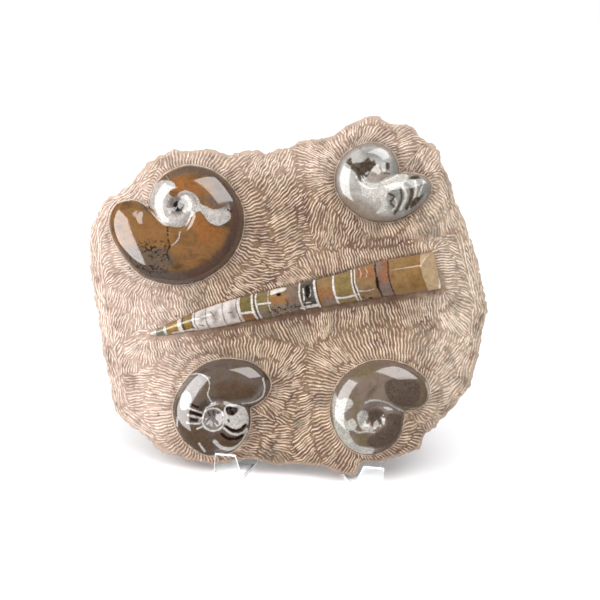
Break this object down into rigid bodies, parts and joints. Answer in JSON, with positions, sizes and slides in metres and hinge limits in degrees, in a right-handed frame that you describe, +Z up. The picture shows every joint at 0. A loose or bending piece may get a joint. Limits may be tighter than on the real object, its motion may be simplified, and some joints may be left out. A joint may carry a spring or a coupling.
{
  "type": "fossil plate on an easel",
  "caption": "Rough limestone plate with a polished straight orthoceras cone and coiled goniatite shells in relief, leaning on a clear bent acrylic easel.",
  "frame": {"origin": "middle of the bounding box, on the table", "axes": "+X to the right of the plate as seen from its front, which faces -Y and leans back; +Z up"},
  "size_m": [0.304, 0.1424, 0.2625],
  "materials": {
    "limestone": "tooled, matt",
    "orthoceras_calcite": "polished",
    "amber_calcite": "polished",
    "silver_calcite": "polished",
    "brown_calcite": "polished",
    "mauve_calcite": "polished",
    "acrylic": "clear, polished"
  },
  "bodies": {
    "root": {"matrix_slab": "limestone", "orthoceras": "orthoceras_calcite", "goniatite_upper_left": "amber_calcite", "goniatite_upper_right": "silver_calcite", "goniatite_lower_left": "brown_calcite", "goniatite_lower_right": "mauve_calcite", "easel": "acrylic"}
  },
  "joints": []
}
